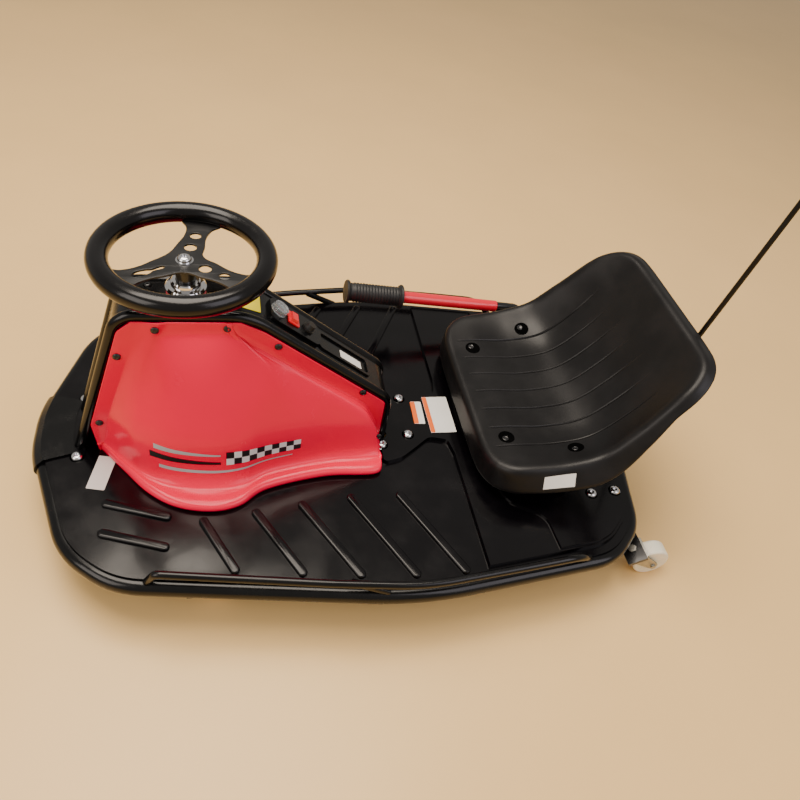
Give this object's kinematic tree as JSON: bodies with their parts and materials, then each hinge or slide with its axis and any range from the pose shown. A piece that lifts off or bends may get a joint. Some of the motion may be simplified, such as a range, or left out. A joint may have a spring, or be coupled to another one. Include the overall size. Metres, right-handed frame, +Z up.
{
  "type": "electric drift kart",
  "caption": "Low child's drift kart: flat tube-framed floor, steered drive wheel under a red-sided tower, bucket seat, lift bar that tilts the rear casters, and a flag.",
  "frame": {"origin": "on the ground, under the middle of the whole kart's box, flag included", "axes": "+X forward, +Y to the driver's left, +Z up"},
  "size_m": [1.2276, 0.672, 0.9509],
  "materials": {
    "frame_black": "gloss",
    "pan_black": "gloss",
    "tower_black": "gloss",
    "cover_red": "gloss",
    "seat_black": "satin",
    "rim_black": "gloss",
    "spoke_black": "satin",
    "chrome": "polished",
    "ring_red": "gloss",
    "tyre": "matt",
    "hub_black": "satin",
    "fork_black": "satin",
    "motor_steel": "satin",
    "case_black": "satin",
    "battery_grey": "matt",
    "bracket_steel": "satin",
    "shaft_steel": "zinc plated",
    "arm_black": "satin",
    "bar_red": "gloss",
    "grip_rubber": "matt",
    "caster_steel": "zinc plated",
    "wheel_white": "satin",
    "pedal_black": "satin",
    "switch_red": "gloss",
    "cap_clear": "clear",
    "boot_rubber": "matt",
    "cap_black": "gloss",
    "pole_black": "satin",
    "flag_orange": "woven nylon"
  },
  "bodies": {
    "chassis": {"perimeter_frame": "frame_black", "chassis_rails": "frame_black", "floor_pan": "pan_black", "side_rail_left": "frame_black", "side_rail_right": "frame_black", "bumper_cap": "cap_black", "tower_rails": "tower_black", "spine_panel": "tower_black", "head_tube": "tower_black", "headset_ring": "ring_red", "cover_left": "cover_red", "cover_right": "cover_red", "power_switch": "switch_red", "charger_cap": "cap_clear", "breaker_boot": "boot_rubber", "battery_block": "battery_grey", "seat_shell": "seat_black", "seat_brackets": "bracket_steel", "shaft_bearings": "bracket_steel", "front_caster_mounts": "bracket_steel", "accelerator_pedal": "pedal_black", "flag_socket": "bracket_steel", "flag_pole": "pole_black", "flag_pennant": "flag_orange"},
    "steering": {"fork": "fork_black", "headset_cup": "chrome", "steering_spokes": "spoke_black", "steering_rim": "rim_black", "hub_bolt": "chrome", "drive_motor": "motor_steel", "chain_case": "case_black"},
    "drive_wheel": {"drive_hub": "hub_black", "drive_tyre": "tyre"},
    "drift_bar": {"caster_shaft": "shaft_steel", "drift_arm": "arm_black", "drift_tube": "bar_red", "drift_grip": "grip_rubber", "caster_mount_left": "arm_black", "caster_mount_right": "arm_black"},
    "rear_caster_left": {"caster_fork_left": "caster_steel"},
    "rear_wheel_left": {"caster_wheel_left": "wheel_white"},
    "front_caster_left": {"front_caster_fork_left": "caster_steel"},
    "front_wheel_left": {"front_caster_wheel_left": "wheel_white"},
    "rear_caster_right": {"caster_fork_right": "caster_steel"},
    "rear_wheel_right": {"caster_wheel_right": "wheel_white"},
    "front_caster_right": {"front_caster_fork_right": "caster_steel"},
    "front_wheel_right": {"front_caster_wheel_right": "wheel_white"}
  },
  "joints": [
    {"name": "steering_turn", "type": "hinge", "parent": "chassis", "child": "steering", "pos_m": [0.379, 0, 0.3], "axis": [0, 0, 1], "continuous": true},
    {"name": "drive_spin", "type": "hinge", "parent": "steering", "child": "drive_wheel", "pos_m": [0.379, 0, 0.112], "axis": [0, 1, 0], "continuous": true},
    {"name": "drift_bar_lift", "type": "hinge", "parent": "chassis", "child": "drift_bar", "pos_m": [-0.256, 0, 0.052], "axis": [0, -1, 0], "range_deg": [0, 30]},
    {"name": "rear_swivel_left", "type": "hinge", "parent": "drift_bar", "child": "rear_caster_left", "pos_m": [-0.31145, 0.262, 0.05278], "axis": [0.5, 0, 0.866], "continuous": true},
    {"name": "rear_spin_left", "type": "hinge", "parent": "rear_caster_left", "child": "rear_wheel_left", "pos_m": [-0.35, 0.262, 0.03], "axis": [0, 1, 0], "continuous": true},
    {"name": "front_swivel_left", "type": "hinge", "parent": "chassis", "child": "front_caster_left", "pos_m": [0.366, 0.25, 0.066], "axis": [0, 0, 1], "continuous": true},
    {"name": "front_spin_left", "type": "hinge", "parent": "front_caster_left", "child": "front_wheel_left", "pos_m": [0.348, 0.25, 0.026], "axis": [0, 1, 0], "continuous": true},
    {"name": "rear_swivel_right", "type": "hinge", "parent": "drift_bar", "child": "rear_caster_right", "pos_m": [-0.31145, -0.262, 0.05278], "axis": [0.5, 0, 0.866], "continuous": true},
    {"name": "rear_spin_right", "type": "hinge", "parent": "rear_caster_right", "child": "rear_wheel_right", "pos_m": [-0.35, -0.262, 0.03], "axis": [0, 1, 0], "continuous": true},
    {"name": "front_swivel_right", "type": "hinge", "parent": "chassis", "child": "front_caster_right", "pos_m": [0.366, -0.25, 0.066], "axis": [0, 0, 1], "continuous": true},
    {"name": "front_spin_right", "type": "hinge", "parent": "front_caster_right", "child": "front_wheel_right", "pos_m": [0.348, -0.25, 0.026], "axis": [0, 1, 0], "continuous": true}
  ]
}
